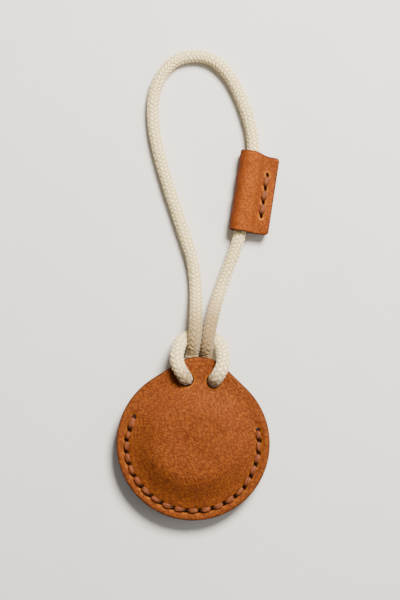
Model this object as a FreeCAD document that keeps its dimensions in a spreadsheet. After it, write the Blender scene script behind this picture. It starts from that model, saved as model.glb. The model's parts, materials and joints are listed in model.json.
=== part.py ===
import FreeCAD, Part
import math
import os
import Sketcher
from FreeCAD import Placement, Rotation, Vector

# A key fob: two moulded leather panels stitched round a round tracking tag, hung on a
# loop of braided cord that is hitched through the fob's neck and closed in a leather sleeve.
# The fob lies on its back: +Z out of its front, +Y towards its neck, millimetres.

os.makedirs("parts", exist_ok=True)
doc = FreeCAD.newDocument("keychain")

SIZES = [
    ("fob_radius", 24.0, "round part of the fob's outline"),
    ("neck_radius", 12.0, "rounded top of the neck"),
    ("neck_centre", 15.3, "centre of the neck's round above the fob's centre"),
    ("leather", 1.5, "thickness of the fob's leather"),
    ("rim_round", 0.5, "rounding of the fob's outer edge"),
    ("dome_height", 5.7, "top of a moulded dome above the parting plane"),
    ("dome_flat", 10.5, "radius of the dome's flat top"),
    ("dome_crown", 8.0, "radius of the bend at the dome's shoulder"),
    ("dome_foot", 20.2, "where the dome's foot meets the rim"),
    ("rim_land", 0.3, "flat beside the dome's foot"),
    ("hole_offset", 4.3, "cord hole, sideways from the axis"),
    ("hole_height", 19.8, "cord hole above the fob's centre"),
    ("hole_radius", 2.3, "cord hole"),
    ("stitch_radius", 21.0, "line of the fob's stitching"),
    ("stitch_span", 221.0, "arc that the stitching covers, in degrees"),
    ("stitch_count", 20, "stitches round the fob"),
    ("slit_length", 1.7, "pricked slit"),
    ("slit_width", 1.0, "pricked slit"),
    ("slit_slant", 40.0, "slit's slant to the line of stitching, in degrees"),
    ("peg_radius", 0.45, "thread where it passes through a slit"),
    ("thread_width", 1.2, "thread on the surface"),
    ("thread_height", 0.7, "thread above the surface"),
    ("tag_radius", 16.0, "round tag inside the fob"),
    ("tag_half", 4.0, "half of the tag's thickness"),
    ("tag_flat", 9.8, "radius of the tag's flat face"),
    ("tag_bend", 7.0, "rounding of the tag's shoulder"),
    ("tag_play", 0.2, "room between the tag and the leather"),
    ("shell_wall", 1.0, "tag's plastic shell"),
    ("cover_wall", 0.8, "tag's steel cover"),
    ("cell_radius", 10.0, "coin cell"),
    ("cell_height", 3.2, "coin cell"),
    ("cell_base", -3.0, "underside of the cell from the parting plane"),
    ("board_radius", 12.4, "circuit board"),
    ("board_height", 0.8, "circuit board"),
    ("board_base", 1.2, "underside of the board from the parting plane"),
    ("contact_radius", 6.0, "ring spring between the cell and the board"),
    ("contact_wall", 0.8, "ring spring"),
    ("sounder_radius", 4.5, "sounder on the board"),
    ("sounder_height", 0.9, "sounder on the board"),
    ("cord_radius", 2.0, "braided cord"),
    ("hinge_height", 4.49, "axis that the loop swings about, above the base"),
    ("hinge_gap", 2.17, "from that axis to the hitch's cut ends"),
    ("sleeve_length", 25.0, "leather sleeve along the cord"),
    ("sleeve_leather", 1.3, "thickness of the sleeve's leather"),
    ("sleeve_bore", 2.1, "radius inside the sleeve"),
    ("sleeve_fold", 2.5, "radius where the tube turns into the two flaps"),
    ("flap_edge", 8.8, "outer edge of the flaps from the cord's axis"),
    ("flap_stitch", 5.9, "line of the sleeve's stitching from the cord's axis"),
    ("flap_stitches", 3, "stitches on the sleeve"),
    ("flap_pitch", 4.4, "length of a stitch on the sleeve"),
    ("sleeve_turn", -2.7, "sleeve's lean about the vertical, in degrees"),
]

sheet = doc.addObject("Spreadsheet::Sheet", "Sizes")
for row, (alias, number, note) in enumerate(SIZES, start=1):
    sheet.set(f"A{row}", alias)
    sheet.set(f"B{row}", str(number))
    sheet.set(f"C{row}", note)
    sheet.setAlias(f"B{row}", alias)
doc.recompute()

UP = Vector(0, 0, 1)
X_AXIS = -1
Y_AXIS = -2
START = 1
END = 2
CENTRE = 3


def size(alias):
    return float(getattr(sheet, alias))


# The fob's box is centred on the origin, so its round part sits a little below it.
FOB_SHIFT = (size("neck_centre") + size("neck_radius") - size("fob_radius")) / 2
FOB_PLACE = Placement(Vector(0, -FOB_SHIFT, size("dome_height")), Rotation())
FOB_BACK_PLACE = Placement(FOB_PLACE.Base, Rotation(Vector(0, 1, 0), 180))

# The cord's route, from its joint inside the sleeve, round the loop's top and down to the hitch.
LONG_SIDE = [
    (8.15, 79.0, 3.4),
    (8.8, 90.8, 3.4),
    (7.6, 99.4, 2.05),
    (2.0, 111.6, 2.05),
    (-4.2, 118.3, 2.05),
    (-11.2, 120.3, 2.05),
    (-19.6, 117.4, 2.05),
    (-24.2, 107.9, 2.05),
    (-23.4, 95.4, 2.05),
    (-17.8, 80.4, 2.05),
    (-11.2, 65.6, 2.05),
    (-5.8, 54.8, 2.05),
    (-3.9, 44.9, 2.05),
]

# The hitch: over the bight, behind the neck, up through the left hole, round behind both
# strands as the bight, down through the right hole and back over the bight.
HITCH = [
    (-3.0, 35.0, 6.15),
    (-2.95, 30.4, 6.15),
    (-3.1, 26.3, 2.05),
    (-4.4, 17.8, 2.05),
    (-4.4, 17.8, 9.4),
    (-8.6, 24.0, 9.4),
    (-8.0, 28.8, 6.8),
    (-5.9, 31.9, 2.05),
    (-0.8, 32.5, 2.05),
    (4.2, 32.2, 2.05),
    (6.1, 29.1, 6.8),
    (7.0, 24.2, 9.4),
    (4.4, 17.8, 9.4),
    (4.4, 17.8, 2.05),
    (1.2, 26.3, 2.05),
    (1.15, 30.4, 6.15),
    (1.35, 35.0, 6.15),
]

# From the hitch up the other side, back into the sleeve.
SHORT_SIDE = [
    (2.9, 44.9, 2.05),
    (5.4, 54.8, 2.05),
    (7.6, 65.2, 3.3),
    (8.1, 78.7, 3.4),
]

SLEEVE_CENTRE = Vector(8.1, 78.6, 3.4)


# ---- sketches and features -------------------------------------------------------------

def new_body(label, place):
    body = doc.addObject("PartDesign::Body", label)
    body.Label = label
    body.Placement = place
    return body


def origin_feature(body, role):
    return next(item for item in body.Origin.OriginFeatures if item.Role == role)


def new_sketch(body, name, role, height=None, turn=None):
    sketch = body.newObject("Sketcher::SketchObject", name)
    sketch.AttachmentSupport = [(origin_feature(body, role), "")]
    sketch.MapMode = "FlatFace"
    if height:
        sketch.setExpression("AttachmentOffset.Base.z", height)
    if turn:
        sketch.setExpression("AttachmentOffset.Rotation.Angle", turn)
    return sketch


def dimension(sketch, kind, references, expression):
    """A driving dimension, bound to the sheet."""
    number = float(sketch.evalExpression(expression))
    index = sketch.addConstraint(Sketcher.Constraint(kind, *references, number))
    sketch.setExpression(f"Constraints[{index}]", expression)


def fix_point(sketch, item, end, right, up):
    dimension(sketch, "DistanceX", (item, end), right)
    dimension(sketch, "DistanceY", (item, end), up)


def add_arc(sketch, centre, radius, start_degrees, end_degrees):
    circle = Part.Circle(Vector(*centre, 0), UP, radius)
    arc = Part.ArcOfCircle(circle, math.radians(start_degrees), math.radians(end_degrees))
    return sketch.addGeometry(arc, False)


def add_line(sketch, start, end):
    return sketch.addGeometry(Part.LineSegment(Vector(*start, 0), Vector(*end, 0)), False)


def join(sketch, first, first_end, second, second_end, kind="Coincident"):
    sketch.addConstraint(Sketcher.Constraint(kind, first, first_end, second, second_end))


def level(sketch, *lines):
    for line in lines:
        sketch.addConstraint(Sketcher.Constraint("Horizontal", line))


def upright(sketch, *lines):
    for line in lines:
        sketch.addConstraint(Sketcher.Constraint("Vertical", line))


def add_circle(sketch, right, up, radius):
    """A circle whose centre and radius are bound to the sheet."""
    centre = Vector(sketch.evalExpression(right), sketch.evalExpression(up), 0)
    item = sketch.addGeometry(Part.Circle(centre, UP, sketch.evalExpression(radius)), False)
    dimension(sketch, "Radius", (item,), radius)
    fix_point(sketch, item, CENTRE, right, up)


def add_block(sketch, right, up, length, width, slant):
    """A rectangle about a point, its length turned from the sketch's upward axis."""
    centre = Vector(sketch.evalExpression(right), sketch.evalExpression(up), 0)
    angle = math.radians(sketch.evalExpression(slant))
    along = Vector(-math.sin(angle), math.cos(angle), 0) * (sketch.evalExpression(length) / 2)
    across = Vector(math.cos(angle), math.sin(angle), 0) * (sketch.evalExpression(width) / 2)
    corners = [centre + across + along, centre - across + along,
               centre - across - along, centre + across - along]
    items = [add_line(sketch, (a.x, a.y), (b.x, b.y))
             for a, b in zip(corners, corners[1:] + corners[:1])]
    for item, following in zip(items, items[1:] + items[:1]):
        join(sketch, item, END, following, START)
    sketch.addConstraint(Sketcher.Constraint("Perpendicular", items[0], items[1]))
    sketch.addConstraint(Sketcher.Constraint("Parallel", items[0], items[2]))
    sketch.addConstraint(Sketcher.Constraint("Parallel", items[1], items[3]))
    dimension(sketch, "Distance", (items[1],), length)
    dimension(sketch, "Distance", (items[0],), width)
    middle = sketch.addGeometry(Part.Point(centre), True)
    sketch.addConstraint(
        Sketcher.Constraint("Symmetric", items[0], START, items[2], START, middle, START))
    fix_point(sketch, middle, START, right, up)
    axis_turn = f"90deg + {slant} * 1deg"
    index = sketch.addConstraint(
        Sketcher.Constraint("Angle", items[3], math.pi / 2 + angle))
    sketch.setExpression(f"Constraints[{index}]", axis_turn)


def pad(body, name, sketch, length, middle=False):
    feature = body.newObject("PartDesign::Pad", name)
    feature.Profile = sketch
    feature.Midplane = middle
    feature.setExpression("Length", length)
    body.Tip = feature
    doc.recompute()
    return feature


def pocket_through(body, name, sketch):
    """A pocket right through the solid on the sketch's upper side."""
    before = body.Shape.Volume
    feature = body.newObject("PartDesign::Pocket", name)
    feature.Profile = sketch
    feature.Type = "ThroughAll"
    feature.Reversed = True
    body.Tip = feature
    doc.recompute()
    if body.Shape.Volume > before - 1e-3:
        raise RuntimeError(f"{name} cuts nothing")
    return feature


def revolve(body, kind, name, sketch):
    before = body.Shape.Volume if body.Tip else 0.0
    feature = body.newObject(kind, name)
    feature.Profile = sketch
    feature.ReferenceAxis = (sketch, ["V_Axis"])
    feature.Angle = 360.0
    body.Tip = feature
    doc.recompute()
    if kind.endswith("Groove") and body.Shape.Volume > before - 1e-3:
        raise RuntimeError(f"{name} cuts nothing")
    return feature


def repeat_round(body, name, originals, count, span):
    pattern = body.newObject("PartDesign::PolarPattern", name)
    pattern.Originals = originals
    pattern.Axis = (origin_feature(body, "Z_Axis"), [""])
    pattern.setExpression("Angle", span)
    pattern.setExpression("Occurrences", count)
    body.Tip = pattern
    doc.recompute()
    return pattern


def repeat_along(body, name, originals, count, reach):
    pattern = body.newObject("PartDesign::LinearPattern", name)
    pattern.Originals = originals
    pattern.Direction = (origin_feature(body, "Y_Axis"), [""])
    pattern.setExpression("Length", reach)
    pattern.setExpression("Occurrences", count)
    body.Tip = pattern
    doc.recompute()
    return pattern


# ---- the fob's two leather panels ------------------------------------------------------

STITCH_START = "-90deg - Sizes.stitch_span / 2 * 1deg"
STITCH_PITCH = "Sizes.stitch_span / Sizes.stitch_count"


def outline_sketch(body):
    """A circle drawn up by two tangent lines into a rounded neck."""
    sketch = new_sketch(body, "Outline", "XY_Plane")
    fob, neck, rise = size("fob_radius"), size("neck_radius"), size("neck_centre")
    lean = math.degrees(math.acos((fob - neck) / rise))
    side = math.sin(math.radians(lean))
    reach = math.cos(math.radians(lean))
    cap = add_arc(sketch, (0, rise), neck, 90 - lean, 90 + lean)
    left = add_line(sketch, (-neck * side, rise + neck * reach), (-fob * side, fob * reach))
    disc = add_arc(sketch, (0, 0), fob, 90 + lean, 450 - lean)
    right = add_line(sketch, (fob * side, fob * reach), (neck * side, rise + neck * reach))
    join(sketch, cap, END, left, START, "Tangent")
    join(sketch, left, END, disc, START, "Tangent")
    join(sketch, disc, END, right, START, "Tangent")
    join(sketch, right, END, cap, START, "Tangent")
    join(sketch, disc, CENTRE, X_AXIS, START)
    sketch.addConstraint(Sketcher.Constraint("PointOnObject", cap, CENTRE, Y_AXIS))
    dimension(sketch, "Radius", (disc,), "Sizes.fob_radius")
    dimension(sketch, "Radius", (cap,), "Sizes.neck_radius")
    dimension(sketch, "DistanceY", (cap, CENTRE), "Sizes.neck_centre")
    return sketch


def dome_sketch(body):
    """Half section of the moulded dome: flat top, round shoulder, hollow foot on the rim."""
    sketch = new_sketch(body, "DomeSection", "XZ_Plane")
    top, flat, crown = size("dome_height"), size("dome_flat"), size("dome_crown")
    foot, rim, land = size("dome_foot"), size("leather"), size("rim_land")
    drop, run = top - rim, foot - flat
    turn = 2 * math.atan(drop / run)
    hollow = run / math.sin(turn) - crown
    degrees = math.degrees(turn)
    axis = add_line(sketch, (0, 0), (0, top))
    plateau = add_line(sketch, (0, top), (flat, top))
    shoulder = add_arc(sketch, (flat, top - crown), crown, 90 - degrees, 90)
    heel = add_arc(sketch, (foot, rim + hollow), hollow, 270 - degrees, 270)
    ledge = add_line(sketch, (foot, rim), (foot + land, rim))
    wall = add_line(sketch, (foot + land, rim), (foot + land, 0))
    base = add_line(sketch, (foot + land, 0), (0, 0))
    join(sketch, axis, END, plateau, START)
    join(sketch, plateau, END, shoulder, END, "Tangent")
    join(sketch, shoulder, START, heel, START, "Tangent")
    join(sketch, heel, END, ledge, START, "Tangent")
    join(sketch, ledge, END, wall, START)
    join(sketch, wall, END, base, START)
    join(sketch, base, END, axis, START)
    join(sketch, axis, START, X_AXIS, START)
    upright(sketch, axis, wall)
    level(sketch, plateau, ledge, base)
    fix_point(sketch, plateau, END, "Sizes.dome_flat", "Sizes.dome_height")
    fix_point(sketch, ledge, START, "Sizes.dome_foot", "Sizes.leather")
    dimension(sketch, "DistanceX", (ledge, START, ledge, END), "Sizes.rim_land")
    dimension(sketch, "Radius", (shoulder,), "Sizes.dome_crown")
    return sketch


def pebble_sketch(body, name, inset):
    """Half section of the tag's outside, moved in by an inset: flat face, round shoulder."""
    sketch = new_sketch(body, name, "XZ_Plane")
    depth = sketch.evalExpression(inset)
    top = size("tag_half") - depth
    flat = size("tag_flat")
    bend = size("tag_bend") - depth
    edge = size("tag_radius") - depth
    waist = math.sqrt(bend ** 2 - (edge - flat) ** 2) + top - bend
    shoulder_end = math.degrees(math.asin((waist - top + bend) / bend))
    axis = add_line(sketch, (0, 0), (0, top))
    face = add_line(sketch, (0, top), (flat, top))
    shoulder = add_arc(sketch, (flat, top - bend), bend, shoulder_end, 90)
    wall = add_line(sketch, (edge, waist), (edge, 0))
    base = add_line(sketch, (edge, 0), (0, 0))
    join(sketch, axis, END, face, START)
    join(sketch, face, END, shoulder, END, "Tangent")
    join(sketch, shoulder, START, wall, START)
    join(sketch, wall, END, base, START)
    join(sketch, base, END, axis, START)
    join(sketch, axis, START, X_AXIS, START)
    upright(sketch, axis, wall)
    level(sketch, face, base)
    fix_point(sketch, face, END, "Sizes.tag_flat", f"Sizes.tag_half - ({inset})")
    dimension(sketch, "DistanceX", (wall, END), f"Sizes.tag_radius - ({inset})")
    dimension(sketch, "Radius", (shoulder,), f"Sizes.tag_bend - ({inset})")
    return sketch


def leather_panel(label, place):
    """One panel, built from the parting plane outwards: rim, dome, hollow, holes and slits."""
    body = new_body(label, place)
    rim = pad(body, "Rim", outline_sketch(body), "Sizes.leather")
    top_edges = [f"Edge{i}" for i, edge in enumerate(rim.Shape.Edges, start=1)
                 if edge.BoundBox.ZMin > size("leather") - 1e-4]
    rounding = body.newObject("PartDesign::Fillet", "RimRound")
    rounding.Base = (rim, top_edges)
    rounding.setExpression("Radius", "Sizes.rim_round")
    body.Tip = rounding
    doc.recompute()
    revolve(body, "PartDesign::Revolution", "Dome", dome_sketch(body))
    hollow = pebble_sketch(body, "HollowSection", "-Sizes.tag_play")
    revolve(body, "PartDesign::Groove", "Hollow", hollow)
    holes = new_sketch(body, "CordHoleCircles", "XY_Plane")
    for offset in ("Sizes.hole_offset", "-Sizes.hole_offset"):
        add_circle(holes, offset, "Sizes.hole_height", "Sizes.hole_radius")
    pocket_through(body, "CordHoles", holes)
    slit = new_sketch(body, "SlitOutline", "XY_Plane", turn=STITCH_START)
    add_block(slit, "Sizes.stitch_radius", "0", "Sizes.slit_length", "Sizes.slit_width",
              "Sizes.slit_slant")
    first = pocket_through(body, "Slit", slit)
    repeat_round(body, "Slits", [first], "Sizes.stitch_count + 1", "Sizes.stitch_span")
    return body


front_panel = leather_panel("front_panel", FOB_PLACE)
back_panel = leather_panel("back_panel", FOB_BACK_PLACE)


# ---- the waxed thread round the fob ----------------------------------------------------

def fob_stitching(label, place):
    """Saddle stitches: a peg through each slit, a stitch on each face between two slits."""
    body = new_body(label, place)
    depth = "2 * (Sizes.leather + Sizes.thread_height)"
    peg = new_sketch(body, "PegCircle", "XY_Plane", turn=STITCH_START)
    add_circle(peg, "Sizes.stitch_radius", "0", "Sizes.peg_radius")
    pegs = pad(body, "Peg", peg, depth, middle=True)
    originals = [pegs]
    half_pitch = f"{STITCH_PITCH} / 2 * 1deg"
    for name, height in (("FrontStitch", "Sizes.leather"),
                         ("BackStitch", "-Sizes.leather - Sizes.thread_height")):
        sketch = new_sketch(body, f"{name}Outline", "XY_Plane", height=height,
                            turn=f"{STITCH_START} + {half_pitch}")
        add_block(sketch, f"Sizes.stitch_radius * cos({half_pitch})", "0",
                  f"2 * Sizes.stitch_radius * sin({half_pitch}) + Sizes.peg_radius",
                  "Sizes.thread_width", "0")
        originals.append(pad(body, name, sketch, "Sizes.thread_height"))
    repeat_round(body, "Stitches", originals, "Sizes.stitch_count",
                 f"Sizes.stitch_span - {STITCH_PITCH}")
    last = new_sketch(body, "LastPegCircle", "XY_Plane",
                      turn=f"{STITCH_START} + Sizes.stitch_span * 1deg")
    add_circle(last, "Sizes.stitch_radius", "0", "Sizes.peg_radius")
    pad(body, "LastPeg", last, depth, middle=True)
    return body


fob_thread = fob_stitching("fob_thread", FOB_PLACE)


# ---- the round tag in the fob ----------------------------------------------------------

def tag_half(label, place, wall):
    """A shallow round shell, open at the parting plane."""
    body = new_body(label, place)
    revolve(body, "PartDesign::Revolution", "Shell",
            pebble_sketch(body, "ShellSection", "0"))
    revolve(body, "PartDesign::Groove", "Inside",
            pebble_sketch(body, "InsideSection", wall))
    return body


def disc(label, radius, height, base):
    piece = doc.addObject("Part::Cylinder", label)
    piece.Label = label
    piece.setExpression("Radius", radius)
    piece.setExpression("Height", height)
    piece.Placement = Placement(FOB_PLACE.Base + UP * base, Rotation())
    return piece


board_top = size("board_base") + size("board_height")
cell_top = size("cell_base") + size("cell_height")

tag_shell = tag_half("tag_shell", FOB_PLACE, "Sizes.shell_wall")
tag_cover = tag_half("tag_cover", FOB_BACK_PLACE, "Sizes.cover_wall")
coin_cell = disc("coin_cell", "Sizes.cell_radius", "Sizes.cell_height", size("cell_base"))
circuit_board = disc("circuit_board", "Sizes.board_radius", "Sizes.board_height",
                     size("board_base"))
sounder = disc("sounder", "Sizes.sounder_radius", "Sizes.sounder_height", board_top)

contact_height = "Sizes.board_base - Sizes.cell_base - Sizes.cell_height"
contact_outer = disc("ContactOutside", "Sizes.contact_radius", contact_height, cell_top)
contact_inner = disc("ContactInside", "Sizes.contact_radius - Sizes.contact_wall",
                     contact_height, cell_top)
cell_contact = doc.addObject("Part::Cut", "cell_contact")
cell_contact.Label = "cell_contact"
cell_contact.Base = contact_outer
cell_contact.Tool = contact_inner


# ---- the cord --------------------------------------------------------------------------

ARC_SHARE = 0.45


def route_wire(name, points):
    """Straight runs joined by tangent arcs, each as large as its two runs allow."""
    corners = [Vector(*point) for point in points]
    edges = []
    last = corners[0]
    radii = []
    for before, corner, after in zip(corners, corners[1:], corners[2:]):
        back = (before - corner).normalize()
        ahead = (after - corner).normalize()
        reach = ARC_SHARE * min(before.distanceToPoint(corner), corner.distanceToPoint(after))
        half_turn = (math.pi - back.getAngle(ahead)) / 2
        radius = reach / math.tan(half_turn)
        radii.append(radius)
        inwards = (back + ahead).normalize()
        middle = corner + inwards * (radius / math.cos(half_turn) - radius)
        start = corner + back * reach
        end = corner + ahead * reach
        edges.append(Part.LineSegment(last, start).toShape())
        edges.append(Part.Arc(start, middle, end).toShape())
        last = end
    edges.append(Part.LineSegment(last, corners[-1]).toShape())
    print(name, "bend radii, mm:", " ".join(f"{radius:.1f}" for radius in radii))
    wire = doc.addObject("Part::Feature", name)
    wire.Shape = Part.Wire(edges)
    return wire


def cord_tube(label, points):
    """The plain cord, swept along its route."""
    wire = route_wire(f"{label}_route", points)
    start, ahead = Vector(*points[0]), Vector(*points[1])
    section = doc.addObject("Part::Circle", f"{label}_section")
    section.setExpression("Radius", "Sizes.cord_radius")
    section.Placement = Placement(start, Rotation(UP, ahead - start))
    tube = doc.addObject("Part::Sweep", label)
    tube.Sections = [section]
    tube.Spine = (wire, [f"Edge{i}" for i in range(1, len(wire.Shape.Edges) + 1)])
    tube.Solid = True
    tube.Frenet = False
    doc.recompute()
    expected = math.pi * size("cord_radius") ** 2 * wire.Shape.Length
    print(label, f"length {wire.Shape.Length:.1f} mm, volume {tube.Shape.Volume:.0f} mm3,",
          f"section times length {expected:.0f} mm3")
    return tube


def at_height(high, low, height):
    """The point of the run from high to low that lies at a height."""
    share = (high[2] - height) / (high[2] - low[2])
    return tuple(a + (b - a) * share for a, b in zip(high, low))


def hinge_point(high, low):
    return at_height(high, low, size("hinge_height"))


def cut_end(high, low):
    """Where the hitch's strand stops short of the axis that the loop swings about."""
    hinge = Vector(*hinge_point(high, low))
    back = (Vector(*high) - hinge).normalize()
    return tuple(hinge + back * size("hinge_gap"))


def loop_tube(label, points):
    """A strand of the loop, whose first end is a ball about the axis that it swings about."""
    tube = cord_tube(f"{label}_tube", points)
    start, ahead = Vector(*points[0]), Vector(*points[1])
    ball = doc.addObject("Part::Sphere", f"{label}_end")
    ball.setExpression("Radius", "Sizes.cord_radius")
    ball.Angle1 = 0.0
    ball.Placement = Placement(start, Rotation(UP, start - ahead))
    strand = doc.addObject("Part::MultiFuse", label)
    strand.Label = label
    strand.Shapes = [tube, ball]
    doc.recompute()
    return strand


left_hinge = hinge_point(HITCH[0], LONG_SIDE[-1])
right_hinge = hinge_point(HITCH[-1], SHORT_SIDE[0])
hitch_route = ([cut_end(HITCH[0], LONG_SIDE[-1])] + HITCH
               + [cut_end(HITCH[-1], SHORT_SIDE[0])])
cord_hitch = cord_tube("cord_hitch", hitch_route)
cord_hitch.Label = "cord_hitch"
cord_long_side = loop_tube("cord_long_side", [left_hinge] + LONG_SIDE[::-1])
cord_short_side = loop_tube("cord_short_side", [right_hinge] + SHORT_SIDE)
print("hinge at", left_hinge, right_hinge)


# ---- the sleeve over the cord's joint --------------------------------------------------

SLEEVE_PLACE = Placement(SLEEVE_CENTRE, Rotation(UP, size("sleeve_turn")))


def sleeve_sketch(body):
    """Section across the cord: a tube whose two flaps lie together at one side."""
    sketch = new_sketch(body, "SleeveSection", "XZ_Plane")
    outer = size("sleeve_bore") + size("sleeve_leather")
    flap, fold, edge = size("sleeve_leather"), size("sleeve_fold"), size("flap_edge")
    centre = (math.sqrt((outer + fold) ** 2 - (flap + fold) ** 2), flap + fold)
    lean = math.degrees(math.atan2(centre[1], centre[0]))
    below = (centre[0], -centre[1])
    tube = add_arc(sketch, (0, 0), outer, lean, 360 - lean)
    upper_fold = add_arc(sketch, centre, fold, 180 + lean, 270)
    upper = add_line(sketch, (centre[0], flap), (edge, flap))
    end = add_line(sketch, (edge, flap), (edge, -flap))
    lower = add_line(sketch, (edge, -flap), (centre[0], -flap))
    lower_fold = add_arc(sketch, below, fold, 90, 180 - lean)
    join(sketch, tube, START, upper_fold, START, "Tangent")
    join(sketch, upper_fold, END, upper, START, "Tangent")
    join(sketch, upper, END, end, START)
    join(sketch, end, END, lower, START)
    join(sketch, lower, END, lower_fold, START, "Tangent")
    join(sketch, lower_fold, END, tube, END, "Tangent")
    join(sketch, tube, CENTRE, X_AXIS, START)
    level(sketch, upper, lower)
    upright(sketch, end)
    dimension(sketch, "Radius", (tube,), "Sizes.sleeve_bore + Sizes.sleeve_leather")
    dimension(sketch, "Radius", (upper_fold,), "Sizes.sleeve_fold")
    dimension(sketch, "Radius", (lower_fold,), "Sizes.sleeve_fold")
    fix_point(sketch, upper, END, "Sizes.flap_edge", "Sizes.sleeve_leather")
    dimension(sketch, "DistanceY", (end, END, end, START), "2 * Sizes.sleeve_leather")
    add_circle(sketch, "0", "0", "Sizes.sleeve_bore")
    return sketch


FLAP_REACH = "Sizes.flap_stitches * Sizes.flap_pitch"


def leather_sleeve(label, place):
    body = new_body(label, place)
    pad(body, "Wrap", sleeve_sketch(body), "Sizes.sleeve_length", middle=True)
    slit = new_sketch(body, "SlitOutline", "XY_Plane", height="-Sizes.sleeve_leather")
    add_block(slit, "Sizes.flap_stitch", f"-{FLAP_REACH} / 2", "Sizes.slit_length",
              "Sizes.slit_width", "Sizes.slit_slant")
    first = pocket_through(body, "Slit", slit)
    repeat_along(body, "Slits", [first], "Sizes.flap_stitches + 1", FLAP_REACH)
    return body


def sleeve_stitching(label, place):
    """A peg through each of the flaps' slits, with stitches on both faces."""
    body = new_body(label, place)
    peg = new_sketch(body, "PegCircle", "XY_Plane")
    add_circle(peg, "Sizes.flap_stitch", f"-{FLAP_REACH} / 2", "Sizes.peg_radius")
    pegs = pad(body, "Peg", peg, "2 * (Sizes.sleeve_leather + Sizes.thread_height)",
               middle=True)
    originals = [pegs]
    for name, height in (("FrontStitch", "Sizes.sleeve_leather"),
                         ("BackStitch", "-Sizes.sleeve_leather - Sizes.thread_height")):
        sketch = new_sketch(body, f"{name}Outline", "XY_Plane", height=height)
        add_block(sketch, "Sizes.flap_stitch", f"(Sizes.flap_pitch - {FLAP_REACH}) / 2",
                  "Sizes.flap_pitch + Sizes.peg_radius", "Sizes.thread_width", "0")
        originals.append(pad(body, name, sketch, "Sizes.thread_height"))
    repeat_along(body, "Stitches", originals, "Sizes.flap_stitches",
                 f"{FLAP_REACH} - Sizes.flap_pitch")
    last = new_sketch(body, "LastPegCircle", "XY_Plane")
    add_circle(last, "Sizes.flap_stitch", f"{FLAP_REACH} / 2", "Sizes.peg_radius")
    pad(body, "LastPeg", last, "2 * (Sizes.sleeve_leather + Sizes.thread_height)",
        middle=True)
    return body


cord_sleeve = leather_sleeve("cord_sleeve", SLEEVE_PLACE)
sleeve_thread = sleeve_stitching("sleeve_thread", SLEEVE_PLACE)


# ---- checks and export -----------------------------------------------------------------

PIECES = [
    front_panel,
    back_panel,
    fob_thread,
    tag_shell,
    tag_cover,
    coin_cell,
    cell_contact,
    circuit_board,
    sounder,
    cord_hitch,
    cord_long_side,
    cord_short_side,
    cord_sleeve,
    sleeve_thread,
]

doc.recompute()
for item in doc.Objects:
    if "Invalid" in item.State or "Error" in item.State:
        raise RuntimeError(f"{item.Label} failed: {item.State}")
for piece in PIECES:
    shape = piece.Shape
    if shape.isNull() or not shape.isValid():
        raise RuntimeError(f"{piece.Label} has no valid shape")
    print(f"{piece.Label}: {len(shape.Solids)} solid(s), {shape.Volume:.1f} mm3")
    shape.exportStep(f"parts/{piece.Label}.step")
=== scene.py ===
import json
import math

import bpy
import numpy as np
from mathutils import Matrix, Vector, geometry


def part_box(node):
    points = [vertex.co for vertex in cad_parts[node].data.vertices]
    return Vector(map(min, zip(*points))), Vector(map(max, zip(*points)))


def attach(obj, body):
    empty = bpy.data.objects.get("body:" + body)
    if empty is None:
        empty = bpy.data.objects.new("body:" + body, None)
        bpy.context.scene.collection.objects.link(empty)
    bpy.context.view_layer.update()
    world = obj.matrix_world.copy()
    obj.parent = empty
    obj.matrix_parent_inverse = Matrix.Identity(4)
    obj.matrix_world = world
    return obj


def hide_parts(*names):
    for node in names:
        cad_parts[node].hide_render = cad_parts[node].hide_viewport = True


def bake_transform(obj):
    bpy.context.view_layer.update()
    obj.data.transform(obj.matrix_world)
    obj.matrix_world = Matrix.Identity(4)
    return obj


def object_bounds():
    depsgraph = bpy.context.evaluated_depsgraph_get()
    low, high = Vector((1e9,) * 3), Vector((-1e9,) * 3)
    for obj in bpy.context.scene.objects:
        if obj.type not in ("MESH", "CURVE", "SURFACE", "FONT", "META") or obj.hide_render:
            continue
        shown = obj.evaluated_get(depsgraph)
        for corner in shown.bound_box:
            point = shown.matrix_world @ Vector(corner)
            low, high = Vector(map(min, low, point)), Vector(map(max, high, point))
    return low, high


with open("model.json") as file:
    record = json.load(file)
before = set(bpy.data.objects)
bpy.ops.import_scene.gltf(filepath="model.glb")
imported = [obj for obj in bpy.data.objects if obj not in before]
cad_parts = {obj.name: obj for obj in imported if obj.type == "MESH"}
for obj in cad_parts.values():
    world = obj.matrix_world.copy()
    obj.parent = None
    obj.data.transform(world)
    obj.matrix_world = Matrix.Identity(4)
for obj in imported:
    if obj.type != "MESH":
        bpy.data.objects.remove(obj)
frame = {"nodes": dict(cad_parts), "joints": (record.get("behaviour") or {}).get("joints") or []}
cad_box = [list(corner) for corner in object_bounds()]

# A leather fob with a round tag inside, on a loop of braided cord closed by a leather sleeve.
# Everything is in the frame of the CAD model, in metres: the fob lies on its back, its front
# up along Z and its neck towards +Y. Leather and thread are worked out in millimetres, each
# from its own middle, and placed at the end.

MM = 0.001
UP = Vector((0, 0, 1))

panel_low, panel_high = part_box("front_panel")
sleeve_low, sleeve_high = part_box("cord_sleeve")

CORD_RADIUS = 0.002

FOB_RADIUS = (panel_high.x - panel_low.x) / 2 / MM
FOB_PLACE = Matrix.Translation((0, panel_low.y + FOB_RADIUS * MM, panel_low.z))
NECK_RADIUS = 12.0
NECK_CENTRE = (panel_high.y - panel_low.y) / MM - FOB_RADIUS - NECK_RADIUS
DOME_HEIGHT = (panel_high.z - panel_low.z) / MM

SLEEVE_TURN = math.radians(-2.7)
SLEEVE_LENGTH = 25.0

swing = next(joint for joint in frame["joints"] if joint["name"] == "loop_swing")
hinge = Vector(swing["pos_m"])


# ---- mesh helpers ----------------------------------------------------------------------

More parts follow.
